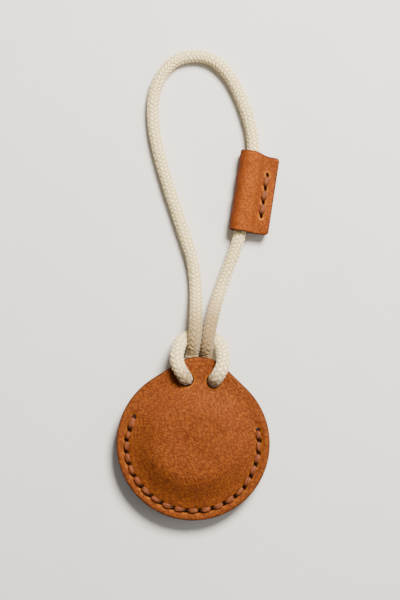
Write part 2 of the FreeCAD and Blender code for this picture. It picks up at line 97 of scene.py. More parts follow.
def mesh_object(name, points, faces, material, attributes=None, sharp=None):
    """A smooth-shaded mesh of points and faces, with named values on its points."""
    mesh = bpy.data.meshes.new(name)
    mesh.from_pydata(np.asarray(points, float).tolist(), [], faces)
    mesh.polygons.foreach_set("use_smooth", np.ones(len(mesh.polygons), bool))
    if sharp:
        mesh.set_sharp_from_angle(angle=math.radians(sharp))
    for key, values in (attributes or {}).items():
        values = np.asarray(values, np.float32)
        if values.ndim == 1:
            layer = mesh.attributes.new(key, "FLOAT", "POINT")
            layer.data.foreach_set("value", values)
        else:
            layer = mesh.attributes.new(key, "FLOAT_VECTOR", "POINT")
            layer.data.foreach_set("vector", values.ravel())
    mesh.materials.append(material)
    mesh.update()
    piece = bpy.data.objects.new(name, mesh)
    bpy.context.scene.collection.objects.link(piece)
    return piece


def smooth_step(low, high, value):
    share = np.clip((value - low) / (high - low), 0.0, 1.0)
    return share * share * (3 - 2 * share)


def hump(distance, width):
    return np.exp(-(distance / width) ** 2)


def ripples(x, y, wavelength, seed, count=10):
    """A smooth uneven field, mostly within -1 to 1: waves in random directions, added up."""
    dice = np.random.default_rng(seed)
    total = np.zeros_like(x)
    for _ in range(count):
        heading, phase = dice.uniform(0, 2 * math.pi, 2)
        length = wavelength * dice.uniform(0.7, 1.5)
        along = x * math.cos(heading) + y * math.sin(heading)
        total += np.cos(2 * math.pi * along / length + phase)
    return total / math.sqrt(count)


def tube_faces(rings, around):
    """Quads joining rings of points laid one after another, closed round each ring."""
    ring, side = np.meshgrid(np.arange(rings - 1), np.arange(around), indexing="ij")
    beside = (side + 1) % around
    start = ring * around
    quads = np.stack([start + side, start + beside,
                      start + around + beside, start + around + side], axis=-1)
    return quads.reshape(-1, 4).tolist()


def capped_tube_faces(rings, around):
    first_cap = list(range(around))[::-1]
    last_cap = list(range((rings - 1) * around, rings * around))
    return tube_faces(rings, around) + [first_cap, last_cap]


def carried_frames(path, side):
    """Two side directions that don't twist along a line of points."""
    tangents = np.gradient(path, axis=0)
    tangents /= np.linalg.norm(tangents, axis=1)[:, None]
    side = np.asarray(side, float)
    sides = []
    for tangent in tangents:
        side = side - tangent * np.dot(side, tangent)
        side = side / np.linalg.norm(side)
        sides.append(side)
    sides = np.array(sides)
    return sides, np.cross(tangents, sides)


# ---- materials -------------------------------------------------------------------------

class Shader:
    """A node material, built one node at a time."""

    def __init__(self, name):
        self.material = bpy.data.materials.new(name)
        self.material.use_nodes = True
        self.nodes = self.material.node_tree.nodes
        self.links = self.material.node_tree.links
        self.surface = self.nodes["Principled BSDF"]

    def put(self, socket, value):
        if isinstance(value, bpy.types.NodeSocket):
            self.links.new(value, socket)
        else:
            socket.default_value = value

    def node(self, kind, inputs, **settings):
        node = self.nodes.new(kind)
        for key, value in settings.items():
            setattr(node, key, value)
        for key, value in inputs.items():
            self.put(node.inputs[key], value)
        return node

    def set(self, **values):
        for key, value in values.items():
            self.put(self.surface.inputs[key.replace("_", " ")], value)

    def place(self, scale=(1000, 1000, 1000), turn=0.0, shift=0.0):
        """Where a point is on its piece, in millimetres unless scaled further."""
        where = self.node("ShaderNodeTexCoord", {}).outputs["Object"]
        return self.moved(where, scale, turn, shift)

    def moved(self, vector, scale, turn=0.0, shift=0.0):
        return self.node("ShaderNodeMapping", {
            "Vector": vector, "Scale": scale, "Rotation": (0, 0, turn),
            "Location": (shift, shift, shift)}).outputs[0]

    def slanted(self, scale, turn, shift):
        """Coordinates turned about Z before they are scaled, so that the scaling slants."""
        turned = self.place((1, 1, 1), turn)
        return self.moved(turned, scale, 0.0, shift)

    def attribute(self, name, output="Fac"):
        return self.node("ShaderNodeAttribute", {}, attribute_name=name).outputs[output]

    def noise(self, vector, scale, detail=3.0, roughness=0.55, distortion=0.0):
        return self.node("ShaderNodeTexNoise", {
            "Vector": vector, "Scale": scale, "Detail": detail, "Roughness": roughness,
            "Distortion": distortion}).outputs["Fac"]

    def ramp(self, value, low, high, start=0.0, end=1.0):
        """A value moved from one range to another, and kept in it."""
        return self.node("ShaderNodeMapRange", {
            "Value": value, "From Min": low, "From Max": high, "To Min": start,
            "To Max": end}).outputs["Result"]

    def mix(self, share, first, second):
        node = self.nodes.new("ShaderNodeMix")
        node.data_type = "RGBA"
        colours = [socket for socket in node.inputs if socket.type == "RGBA"]
        self.put(node.inputs[0], share)
        self.put(colours[0], first)
        self.put(colours[1], second)
        return next(socket for socket in node.outputs if socket.type == "RGBA")

    def bump(self, height, distance, strength=1.0, below=None):
        node = self.node("ShaderNodeBump", {"Height": height, "Distance": distance,
                                            "Strength": strength})
        if below is not None:
            self.put(node.inputs["Normal"], below)
        return node.outputs[0]


def colour(red, green, blue):
    return (red, green, blue, 1.0)


# The hide's pebbles and its finer grain both run at this angle to the fob.
GRAIN_SLANT = math.radians(37)


def leather_material(name, light, middle, dark, rubbed, burnt_and_shade, shift):
    """Vegetable-tanned leather: clouded colour, slanting grain and pebbles, stains with painted
    shade, rubbed spots, burnished edges with painted shade.
    """
    shader = Shader(name)
    place = shader.place(shift=shift)
    slanting = shader.slanted((700, 5200, 2400), GRAIN_SLANT, shift)
    pebbled = shader.slanted((560, 3500, 1500), GRAIN_SLANT, shift)
    cloud = shader.noise(place, 0.13, 3.0, 0.6)
    mottle = shader.noise(place, 0.9, 4.0, 0.62, 0.3)
    grain = shader.noise(slanting, 1.0, 1.5, 0.6)
    base = shader.mix(shader.ramp(cloud, 0.30, 0.70), middle, light)
    base = shader.mix(shader.ramp(mottle, 0.50, 0.75, 0.0, 0.16), base, dark)
    base = shader.mix(shader.ramp(grain, 0.49, 0.60, 0.0, 0.7), base, dark)
    pebbles = shader.node("ShaderNodeTexVoronoi", {"Vector": pebbled, "Scale": 1.0,
                                                   "Randomness": 1.0},
                          feature="DISTANCE_TO_EDGE").outputs["Distance"]
    base = shader.mix(shader.ramp(pebbles, 0.14, 0.38, 0.0, 1.0), base, light)
    base = shader.mix(shader.ramp(pebbles, 0.0, 0.22, 1.0, 0.0), base, dark)
    # stains, and painted shade on the sleeve's crease and on its tube's side away from the flaps
    base = shader.mix(shader.attribute("stain_and_shade"), base, dark)
    base = shader.mix(shader.attribute("rubbed"), base, rubbed)
    # burnished edges, partly painted shade
    base = shader.mix(shader.attribute("burnish_and_shade"), base, burnt_and_shade)
    shader.set(Base_Color=base)
    shader.set(Roughness=shader.ramp(mottle, 0.3, 0.7, 0.72, 0.92))
    shader.set(Specular_IOR_Level=0.16)
    hide = shader.bump(shader.ramp(pebbles, 0.0, 0.3), 0.00005, 0.8)
    shader.set(Normal=shader.bump(grain, 0.00012, 0.8, hide))
    return shader.material


def cotton_material(name):
    """Braided cotton: pale yarn, with painted shade in the braid's valleys and by the hitch, and
    fine fibres.
    """
    shader = Shader(name)
    fibre = shader.attribute("fibre", "Vector")
    valley_shade = shader.attribute("valley_shade")
    hitch_shade = shader.attribute("hitch_shade")
    lint = shader.noise(shader.moved(fibre, (8.0, 1.6, 1.0)), 1.0, 3.0, 0.65)
    cloud = shader.noise(shader.place(), 0.35, 2.0, 0.5)
    base = shader.mix(shader.ramp(lint, 0.36, 0.62), colour(0.89, 0.69, 0.34),
                      colour(1.0, 0.85, 0.46))
    base = shader.mix(shader.ramp(cloud, 0.5, 0.75, 0.0, 0.25), base, colour(0.85, 0.64, 0.32))
    # painted shade in the braid's valleys, towards dark brown at the deepest
    base = shader.mix(shader.ramp(valley_shade, 0.0, 1.0, 0.0, 1.0), base, colour(0.15, 0.085, 0.030))
    # painted shade by the hitch: the strands beside the neck and the cord in the holes coloured
    # greyer and darker
    base = shader.mix(shader.ramp(hitch_shade, 0.0, 1.0, 0.0, 0.86), base, colour(0.20, 0.118, 0.045))
    shader.set(Base_Color=base)
    shader.set(Roughness=0.9)
    shader.set(Specular_IOR_Level=0.2)
    shader.set(Sheen_Weight=0.35)
    shader.set(Sheen_Roughness=0.5)
    shader.set(Normal=shader.bump(lint, 0.00008, 0.8))
    return shader.material


def thread_material(name):
    """Waxed thread: reddish brown, with painted shade between its plies and where it dips into a
    slit.
    """
    shader = Shader(name)
    streak = shader.noise(shader.place(), 2.2, 3.0, 0.6)
    sink_shade = shader.attribute("sink_shade")
    ply_shade = shader.attribute("ply_shade")
    base = shader.mix(shader.ramp(streak, 0.35, 0.7), colour(0.096, 0.0230, 0.0060),
                      colour(0.178, 0.0470, 0.0125))
    # painted shade in the grooves between the plies
    base = shader.mix(shader.ramp(ply_shade, 0.1, 0.9, 0.0, 0.9), base,
                      colour(0.040, 0.0095, 0.003))
    # painted shade where the thread sinks into a slit and along its run through it
    base = shader.mix(sink_shade, base, colour(0.020, 0.0055, 0.002))
    shader.set(Base_Color=base)
    shader.set(Roughness=0.65)
    shader.set(Specular_IOR_Level=0.15)
    shader.set(Normal=shader.bump(streak, 0.00006, 0.5))
    return shader.material


def hard_material(name, base, other, roughness, metallic, scale):
    """Moulded plastic, metal or board: slightly clouded, with fine lines one way."""
    shader = Shader(name)
    lines = shader.noise(shader.place((scale, 14 * scale, scale)), 0.1, 4.0, 0.6)
    shader.set(Base_Color=shader.mix(shader.ramp(lines, 0.4, 0.7), base, other))
    shader.set(Roughness=shader.ramp(lines, 0.3, 0.7, roughness * 0.8, roughness * 1.25))
    shader.set(Metallic=metallic)
    shader.set(Normal=shader.bump(lines, 0.00002, 0.3))
    return shader.material


# burnished edge colour, also painted shade on the edges' walls and in the openings
BURNT_AND_SHADE = colour(0.045, 0.008, 0.003)

fob_leather = leather_material(
    "fob_leather", colour(0.216, 0.0538, 0.0043), colour(0.146, 0.0332, 0.0030),
    colour(0.070, 0.0135, 0.0012), colour(0.27, 0.0765, 0.0045), BURNT_AND_SHADE, 3.7)
sleeve_leather = leather_material(
    "sleeve_leather", colour(0.274, 0.0665, 0.0039), colour(0.211, 0.0472, 0.0030),
    colour(0.112, 0.0210, 0.0018), colour(0.38, 0.112, 0.0054), BURNT_AND_SHADE, 11.3)
cotton = cotton_material("cotton_braid")
waxed_thread = thread_material("waxed_thread")


# ---- the cord --------------------------------------------------------------------------

# The cord's route in metres: from the joint inside the sleeve, round the loop's top,
# down to the hitch, through it, and up the other side back into the sleeve.
ROUTE = [
    (0.0089, 0.0790, 0.0034),
    (0.0097, 0.0906, 0.0034),
    (0.0079, 0.0994, 0.00209),
    (0.0020, 0.1116, 0.00209),
    (-0.0042, 0.1183, 0.00209),
    (-0.0112, 0.1203, 0.00209),
    (-0.0196, 0.1174, 0.00209),
    (-0.0242, 0.1079, 0.00209),
    (-0.0231, 0.0954, 0.00209),
    (-0.0174, 0.0804, 0.00209),
    (-0.0107, 0.0656, 0.00209),
    (-0.0058, 0.0548, 0.00209),
    (-0.0039, 0.0449, 0.00209),
    (-0.0030, 0.0350, 0.0068),
    (-0.00295, 0.0298, 0.0061),
    (-0.0031, 0.0260, 0.00228),
    (-0.0044, 0.0184, 0.00228),
    (-0.0044, 0.0184, 0.0096),
    (-0.0081, 0.0234, 0.0096),
    (-0.0078, 0.0285, 0.0068),
    (-0.0062, 0.0311, 0.00228),
    (-0.0008, 0.0316, 0.00228),
    (0.0043, 0.0313, 0.00228),
    (0.0061, 0.0284, 0.0068),
    (0.0069, 0.0239, 0.0096),
    (0.0046, 0.0189, 0.0096),
    (0.0046, 0.0189, 0.00228),
    (0.0012, 0.0260, 0.00228),
    (0.00115, 0.0298, 0.0061),
    (0.00135, 0.0350, 0.0068),
    (0.0029, 0.0449, 0.00209),
    (0.0054, 0.0548, 0.00209),
    (0.0081, 0.0652, 0.0033),
    (0.0089, 0.0787, 0.0034),
]

# Strands in each of the two directions, and how far along the cord the braid repeats.
BRAID_STRANDS = 8
BRAID_REPEAT = 0.00132

# The braid's points round the cord and the distance between its rings.
BRAID_AROUND = 64
BRAID_STEP = 0.0002

# How high a strand bulges, how far it lifts over the two that it crosses, how unevenly, and
# how far it wanders along and round the cord.
STRAND_ROUND = 0.00030
STRAND_LIFT = 0.00015
STRAND_UNEVEN = 0.00006
WANDER_ALONG = 0.00015
WANDER_AROUND = 0.00020

# The crests' distance from the cord's middle, how much fuller the cord is in the hitch, and
# where along Y from the joint that fullness ends.
CREST_RADIUS = CORD_RADIUS * 0.98
HITCH_SWELL = 0.00024
SWELL_FROM = -0.004
SWELL_TO = 0.012


def route_points(name, points):
    """The smooth line through the route, read from its NURBS curve."""
    curve = bpy.data.curves.new(name, "CURVE")
    curve.dimensions = "3D"
    curve.resolution_u = 24
    spline = curve.splines.new("NURBS")
    spline.points.add(len(points) - 1)
    for knot, point in zip(spline.points, points):
        knot.co = (*point, 1.0)
    spline.order_u = 3
    spline.use_endpoint_u = True
    guide = bpy.data.objects.new(name, curve)
    bpy.context.scene.collection.objects.link(guide)
    bpy.context.view_layer.update()
    line = bpy.data.meshes.new_from_object(guide)
    path = np.array([vertex.co for vertex in line.vertices], float)
    bpy.data.objects.remove(guide)
    bpy.data.meshes.remove(line)
    return path


def even_steps(path, step):
    """Points on the line an even distance apart, and the distance to each."""
    hops = np.linalg.norm(np.diff(path, axis=0), axis=1)
    reached = np.concatenate([[0.0], np.cumsum(hops)])
    along = np.linspace(0, reached[-1], int(round(reached[-1] / step)) + 1)
    points = [np.interp(along, reached, path[:, axis]) for axis in range(3)]
    return np.stack(points, axis=1), along


def braid(along, around, pitch):
    """Depth of a two-over-two braid under its crests, the painted shade in its valleys, and a
    place on its yarns.
    """
    along_mm = along / MM
    circle = 2 * math.pi * around / (pitch * BRAID_STRANDS)
    along = along + WANDER_ALONG * ripples(along_mm, 3 * np.sin(circle), 5.0, 61)
    around = around + WANDER_AROUND * ripples(along_mm, np.zeros_like(circle), 7.0, 62)
    first = along / BRAID_REPEAT + around / pitch
    second = along / BRAID_REPEAT - around / pitch
    first_strand = np.floor(first)
    second_strand = np.floor(second)
    first_across = 2 * (first - first_strand) - 1
    second_across = 2 * (second - second_strand) - 1
    first_height = (STRAND_ROUND * np.sqrt(1 - 0.96 * first_across ** 2)
                    + STRAND_LIFT * np.cos(math.pi / 2 * (second - first_strand)))
    second_height = (STRAND_ROUND * np.sqrt(1 - 0.96 * second_across ** 2)
                     + STRAND_LIFT * np.cos(math.pi / 2 * (first - second_strand - 3)))
    on_top = first_height > second_height
    crest = STRAND_ROUND + STRAND_LIFT
    depth = crest - np.where(on_top, first_height, second_height)
    # painted shade: the deeper a point lies between strands, the darker its yarn is coloured
    valley_shade = np.clip(depth / (1.1 * STRAND_ROUND), 0, 1) ** 0.85
    depth = depth + STRAND_UNEVEN * ripples(along_mm, 5 * np.sin(circle + 1), 1.6, 63)
    across = np.where(on_top, first_across, second_across)
    travel = np.where(on_top, second, first)
    strand = np.where(on_top, first_strand, second_strand + 37)
    return depth, valley_shade, np.stack([across + 5 * strand, 2 * travel, strand], axis=-1)


def hitch_painted_shade(spine):
    """Painted shade along the cord: by the neck's edge and down in the holes."""
    beside_neck = 1 - smooth_step(2.6, 4.6, np.abs(spine[:, 0]))
    at_neck = beside_neck * (1 - smooth_step(35, 49, spine[:, 1]))
    in_holes = 1 - smooth_step(18.8, 22.8, spine[:, 1])
    return np.maximum(at_neck, 0.9 * in_holes)


def braided_cord(name, path):
    """A braid along the line, a little fuller where it is folded into the hitch."""
    spine, along = even_steps(path, BRAID_STEP)
    sides, others = carried_frames(spine, UP)
    angles = np.linspace(0, 2 * math.pi, BRAID_AROUND, endpoint=False)
    pitch = 2 * math.pi * CORD_RADIUS / BRAID_STRANDS
    distance, angle = np.meshgrid(along, angles, indexing="ij")
    depth, valley_shade, fibre = braid(distance, angle * CORD_RADIUS, pitch)
    swell = HITCH_SWELL * (1 - smooth_step(hinge.y + SWELL_FROM, hinge.y + SWELL_TO, spine[:, 1]))
    reach = CREST_RADIUS + swell[:, None] - depth
    points = (spine[:, None] + reach[..., None] * (np.cos(angle)[..., None] * sides[:, None]
                                                   + np.sin(angle)[..., None] * others[:, None]))
    # the painted shade by the hitch, for each point round the cord
    hitch_shade = np.repeat(hitch_painted_shade(spine / MM), BRAID_AROUND)
    values = {"valley_shade": valley_shade.ravel(), "fibre": fibre.reshape(-1, 3), "hitch_shade": hitch_shade}
    faces = capped_tube_faces(len(spine), BRAID_AROUND)
    return mesh_object(name, points.reshape(-1, 3), faces, cotton, values), along[-1]


cord_path = route_points("cord_route", ROUTE)
cord, cord_length = braided_cord("braided_cord", cord_path)


# ---- flat leather patterns -------------------------------------------------------------

# Rows of points beside the outline and round each opening, by their distance from it.
RIM_RINGS = (0.1, 0.22, 0.38, 0.6)
OPENING_RINGS = (0.07, 0.16, 0.3)

# Points closer than the first are one point. A triangle whose middle is no further inside the
# leather than the second isn't leather.
SAME_POINT = 1e-7
ON_EDGE = 1e-4


def stadium_loop(x, y, half, radius, turn):
    """A round-ended slit, listed clockwise so that the leather is on its left."""
    count = max(20, round(24 * (half + radius)))
    angles = -np.linspace(0, 2 * math.pi, count, endpoint=False)
    side = np.where(np.cos(angles) >= 0, half, -half)
    flat_x = radius * np.cos(angles) + side
    flat_y = radius * np.sin(angles)
    return np.stack([x + flat_x * math.cos(turn) - flat_y * math.sin(turn),
                     y + flat_x * math.sin(turn) + flat_y * math.cos(turn)], axis=1)


def stadium_distance(points, x, y, half, radius, turn):
    """How far points are outside a round-ended slit."""
    right = points[:, 0] - x
    up = points[:, 1] - y
    along = right * math.cos(turn) + up * math.sin(turn)
    across = up * math.cos(turn) - right * math.sin(turn)
    beyond = np.maximum(np.abs(along) - half, 0)
    return np.hypot(beyond, across) - radius


def nearest_opening(points, slits):
    """How far points are outside the nearest of some slits."""
    nearest = np.full(len(points), 99.0)
    for slit in slits:
        nearest = np.minimum(nearest, stadium_distance(points, *slit))
    return nearest


def moved_inward(loop, reach):
    """A loop moved towards the leather on its left."""
    ahead = np.roll(loop, -1, axis=0) - np.roll(loop, 1, axis=0)
    ahead /= np.linalg.norm(ahead, axis=1)[:, None]
    return loop + reach * np.stack([-ahead[:, 1], ahead[:, 0]], axis=1)


class Pattern:
    """A flat piece of leather in triangles: an outline and openings, finer along their edges."""

    def __init__(self, outline, rim_distance, slits, spacing, seed):
        self.rim_distance = rim_distance
        self.slits = slits
        self.loops = [outline] + [stadium_loop(*slit) for slit in slits]
        points = [np.concatenate(self.loops)]
        for loop, rings in zip(self.loops, [RIM_RINGS] + [OPENING_RINGS] * len(slits)):
            for reach in rings:
                ring = moved_inward(loop, reach)
                points.append(ring[self.edge_distance(ring) > 0.9 * reach])
        points.append(self.grid(spacing, seed))
        self.triangulate(np.concatenate(points))
        self.rim = self.rim_distance(self.flat)
        self.opening = self.opening_distance(self.flat)
        self.edge = np.maximum(np.minimum(self.rim, self.opening), 0)

    def triangulate(self, points):
        """Join points in triangles that keep each loop's edges and leave the openings out."""
        edges = []
        start = 0
        for loop in self.loops:
            numbers = np.arange(len(loop))
            edges += [(start + int(i), start + int((i + 1) % len(loop))) for i in numbers]
            start += len(loop)
        result = geometry.delaunay_2d_cdt([Vector(point) for point in points.tolist()], edges,
                                          [], 0, SAME_POINT, False)
        self.flat = np.array([tuple(point) for point in result[0]])
        triangles = np.array(result[2])
        middles = self.flat[triangles].mean(axis=1)
        self.triangles = triangles[self.edge_distance(middles) > ON_EDGE]

    def opening_distance(self, points):
        return nearest_opening(points, self.slits)

    def edge_distance(self, points):
        return np.minimum(self.rim_distance(points), self.opening_distance(points))

    def grid(self, spacing, seed):
        """Evenly spread points, slightly shaken, clear of every edge's rings."""
        low = self.loops[0].min(axis=0)
        high = self.loops[0].max(axis=0)
        rows = np.arange(low[1], high[1], spacing * math.sqrt(0.75))
        columns = np.arange(low[0], high[0], spacing)
        right, up = np.meshgrid(columns, rows)
        right = right + spacing / 2 * (np.arange(len(rows)) % 2)[:, None]
        points = np.stack([right.ravel(), up.ravel()], axis=1)
        dice = np.random.default_rng(seed)
        points += dice.uniform(-0.12, 0.12, points.shape) * spacing
        clear = ((self.rim_distance(points) > RIM_RINGS[-1] + 0.5 * spacing)
                 & (self.opening_distance(points) > OPENING_RINGS[-1] + 0.4 * spacing))
        return points[clear]


def rounded_edge(distance, radius):
    """How far a surface has dropped near its edge, as a quarter circle."""
    inside = np.clip(radius - distance, 0, radius)
    return radius - np.sqrt(radius ** 2 - inside ** 2)


def leather_sheet(name, pattern, outer, inner, place, material, values):
    """A watertight sheet between an outer and an inner surface on the same pattern."""
    count = len(pattern.flat)
    points = [outer, inner]
    top = pattern.triangles
    faces = top.tolist() + (top[:, ::-1] + count).tolist()
    start = 0
    waist = 2 * count
    for loop in pattern.loops:
        numbers = np.arange(start, start + len(loop))
        following = np.roll(numbers, -1)
        middle = waist + np.arange(len(loop))
        middle_following = np.roll(middle, -1)
        points.append((outer[numbers] + inner[numbers]) / 2)
        upper = np.stack([numbers, middle, middle_following, following], axis=1)
        lower = np.stack([middle, numbers + count, following + count, middle_following], axis=1)
        faces += upper.tolist() + lower.tolist()
        start += len(loop)
        waist += len(loop)
    points = np.concatenate(points) * MM
    rest = len(points) - count
    attributes = {key: np.concatenate([numbers, np.full(rest, fill)])
                  for key, (numbers, fill) in values.items()}
    sheet = mesh_object(name, points, faces, material, attributes, sharp=60)
    sheet.data.transform(place)
    return sheet


# ---- the fob's leather -----------------------------------------------------------------

LEATHER = 1.5

# Radii round the fob's middle: where the dome starts to fall and ends, and the bead outside
# the stitches.
DOME_TOP = 9.8
DOME_FOOT = 20.6
BEAD_RADIUS = 22.7

# The hollow over the tag: flat, then bent down with this radius, whose centre is under the
# parting plane, out to the tag's room.
HOLLOW_BEND = 7.2
HOLLOW_SUNK = 3.0
HOLLOW_RADIUS = 16.2

# How deep the stitches' groove is, how high the bead, how deep the leather is pulled in at
# each slit and cord hole, and how far its edges are rounded.
GROOVE_DEPTH = 0.42
BEAD_HEIGHT = 0.16
SLIT_DIMPLE = 0.16
HOLE_DIMPLE = 0.18
RIM_ROUND = 0.62
OPENING_ROUND = 0.28

STITCH_RADIUS = 21.0
STITCH_SPAN = math.radians(221)
STITCH_COUNT = 20
STITCH_START = -math.pi / 2 - STITCH_SPAN / 2
SLIT_HALF = 0.44
SLIT_RADIUS = 0.38
SLIT_SLANT = math.radians(40)
CORD_HOLES = [(-4.2, 19.85, 0.0, 2.24, 0.0), (4.42, 20.25, 0.0, 2.24, 0.0)]

# Slits pricked by hand that stray from the even line: degrees along it and millimetres outwards.
STRAYS = {
    0: (1.8, -0.8),
    1: (3.6, -0.6),
    2: (1.5, -0.1),
    3: (0.6, 0.0),
    16: (0.0, -0.3),
    17: (0.0, -0.45),
    18: (-0.6, -0.35),
    19: (-0.8, -0.35),
    20: (-2.2, -0.3),
}


def slit_places():
    """Each slit's angle round the fob and its distance from the fob's middle."""
    places = []
    for number in range(STITCH_COUNT + 1):
        turn, reach = STRAYS.get(number, (0.0, 0.0))
        angle = STITCH_START + STITCH_SPAN * number / STITCH_COUNT + math.radians(turn)
        places.append((angle, STITCH_RADIUS + reach))
    return places


def fob_slits():
    slits = []
    for angle, reach in slit_places():
        turn = angle + math.pi / 2 + SLIT_SLANT
        slits.append((reach * math.cos(angle), reach * math.sin(angle), SLIT_HALF, SLIT_RADIUS,
                      turn))
    return slits


def fob_rim_distance(points):
    """How far points are inside the fob's outline, a circle drawn up to a smaller one."""
    x = np.abs(points[:, 0])
    y = points[:, 1]
    sine = (FOB_RADIUS - NECK_RADIUS) / NECK_CENTRE
    cosine = math.sqrt(1 - sine ** 2)
    along = -sine * x + cosine * y
    disc = np.hypot(x, y) - FOB_RADIUS
    neck = np.hypot(x, y - NECK_CENTRE) - NECK_RADIUS
    side = x * cosine + y * sine - FOB_RADIUS
    return -np.where(along < 0, disc, np.where(along > cosine * NECK_CENTRE, neck, side))


def fob_outline(count=460):
    """The outline counter-clockwise, at even angles from a point inside it."""
    angles = np.linspace(0, 2 * math.pi, count, endpoint=False)
    rays = np.stack([np.cos(angles), np.sin(angles)], axis=1)
    reach = np.full(count, FOB_RADIUS)
    for _ in range(40):
        reach += fob_rim_distance(rays * reach[:, None])
    return rays * reach[:, None]


def stitched_share(x, y):
    """1 beside the line of stitches, fading out past its two ends."""
    from_bottom = np.abs(np.arctan2(x, -y))
    return 1 - smooth_step(STITCH_SPAN / 2 - 0.02, STITCH_SPAN / 2 + 0.12, from_bottom)


def fob_relief(pattern, seed, flat_base):
    """Height of a panel's outer face over the parting plane."""
    x, y = pattern.flat.T
    radius = np.hypot(x, y)
    height = LEATHER + (DOME_HEIGHT - LEATHER) * (1 - smooth_step(DOME_TOP, DOME_FOOT, radius))
    unevenness = 0.09 * ripples(x, y, 11, seed) + 0.025 * ripples(x, y, 3.2, seed + 1)
    if flat_base:
        unevenness *= smooth_step(9.0, 13.0, radius)
    else:
        height -= 0.0022 * np.minimum(radius, 11) ** 2
    height += unevenness * smooth_step(0.0, 3.0, pattern.rim)
    stitched = stitched_share(x, y)
    height -= GROOVE_DEPTH * stitched * hump(radius - STITCH_RADIUS, 0.95)
    height += BEAD_HEIGHT * stitched * hump(radius - BEAD_RADIUS, 0.7)
    slits = nearest_opening(pattern.flat, pattern.slits[:-2])
    holes = nearest_opening(pattern.flat, pattern.slits[-2:])
    height -= SLIT_DIMPLE * hump(np.maximum(slits, 0), 0.45)
    height -= HOLE_DIMPLE * hump(np.maximum(holes, 0), 0.8)
    height -= rounded_edge(np.maximum(pattern.rim, 0), RIM_ROUND)
    height -= rounded_edge(np.maximum(pattern.opening, 0), OPENING_ROUND)
    return height


def fob_hollow(pattern):
    """Height of a panel's inner face: flat on the other panel, hollow over the tag."""
    radius = np.hypot(*pattern.flat.T)
    bend = np.sqrt(np.maximum(HOLLOW_BEND ** 2 - np.maximum(radius - DOME_TOP, 0) ** 2, 0))
    hollow = np.where(radius < HOLLOW_RADIUS, np.maximum(bend - HOLLOW_SUNK, 0), 0)
    return np.maximum(hollow, np.clip(0.14 - pattern.edge, 0, 0.14))


def fob_panel(name, seed, turn, flat_base):
    pattern = Pattern(fob_outline(), fob_rim_distance, fob_slits() + CORD_HOLES, 0.26, seed)
    x, y = pattern.flat.T
    height = fob_relief(pattern, seed, flat_base)
    outer = np.stack([x, y, height], axis=1)
    inner = np.stack([x, y, fob_hollow(pattern)], axis=1)
    ragged = np.clip(1 + 0.5 * ripples(x, y, 2.5, seed + 2), 0.5, 2)
    # burnished rim, partly painted shade; painted shade round and inside the slits and cord holes
    burnish_and_shade = np.maximum(1 - smooth_step(0.05, 0.42 * ragged, pattern.rim),
                           0.9 * (1 - smooth_step(0.02, 0.22, pattern.opening)))
    rubbed = 0.75 * hump(np.maximum(pattern.opening, 0) - 0.2, 0.35)
    return leather_sheet(name, pattern, outer, inner, FOB_PLACE @ turn, fob_leather,
                         {"burnish_and_shade": (burnish_and_shade, 1.0), "rubbed": (rubbed, 0.0)})


FRONT = Matrix.Identity(4)
BACK = Matrix.Rotation(math.pi, 4, "Y")

front = fob_panel("moulded_front", 21, FRONT, flat_base=False)
back = fob_panel("moulded_back", 47, BACK, flat_base=True)


# ---- stitches --------------------------------------------------------------------------

THREAD_AROUND = 20
THREAD_RINGS = 40


def thread_tube(spine, side, width, height, twist):
    """A flattened three-ply thread along a line: its points, and the painted shade on each,
    strongest between plies.
    """
    sides, others = carried_frames(spine, side)
    angle = np.linspace(0, 2 * math.pi, THREAD_AROUND, endpoint=False)[None, :]
    ply = np.abs(np.cos(1.5 * (angle + twist[:, None])))
    fullness = 0.86 + 0.16 * ply
    right = width[:, None] / 2 * fullness * np.cos(angle)
    up = height / 2 * fullness * np.sin(angle)
    points = spine[:, None] + right[..., None] * sides[:, None] + up[..., None] * others[:, None]
    return points.reshape(-1, 3), (1 - smooth_step(0.0, 0.5, ply)).ravel()


def stitch(risen, sunk, up, top, width, dice):
    """One stitch: thread that comes steeply out of one slit and sinks slowly into the next."""
    risen, sunk, up = (np.asarray(vector, float) for vector in (risen, sunk, up))
    along = (sunk - risen) / np.linalg.norm(sunk - risen)
    half = np.linalg.norm(sunk - risen) / 2
    turn = np.linspace(math.pi, 0, THREAD_RINGS)
    forward = half * np.sign(np.cos(turn)) * np.abs(np.cos(turn)) ** 0.75
    blunt = np.where(turn > math.pi / 2, 0.42, 1.4)
    rise = top * np.sin(turn) ** blunt
    spine = (risen + sunk) / 2 + forward[:, None] * along + rise[:, None] * up
    share = (forward + half) / (2 * half)
    # painted shade towards both ends, strongest along the end that sinks into the next slit; the
    # thread also narrows there
    deep = np.maximum(smooth_step(0.42, 0.95, share), smooth_step(0.1, 0.0, share))
    twist = 0.5 * forward + dice.uniform(0, 6)
    points, ply_shade = thread_tube(spine, np.cross(along, up), width * (1 - 0.3 * deep), 0.62,
                                 twist)
    return points, ply_shade, np.repeat(deep, THREAD_AROUND)


def peg(place, reach, dice):
    """The thread's run through a slit, all in painted shade."""
    rise = np.linspace(-reach, reach, THREAD_RINGS)
    spine = np.stack([np.full(THREAD_RINGS, place[0]), np.full(THREAD_RINGS, place[1]), rise],
                     axis=1)
    points, ply_shade = thread_tube(spine, (1, 0, 0), np.full(THREAD_RINGS, 0.86), 0.86,
                                 1.5 * rise + dice.uniform(0, 6))
    return points, ply_shade, np.ones(THREAD_RINGS * THREAD_AROUND)


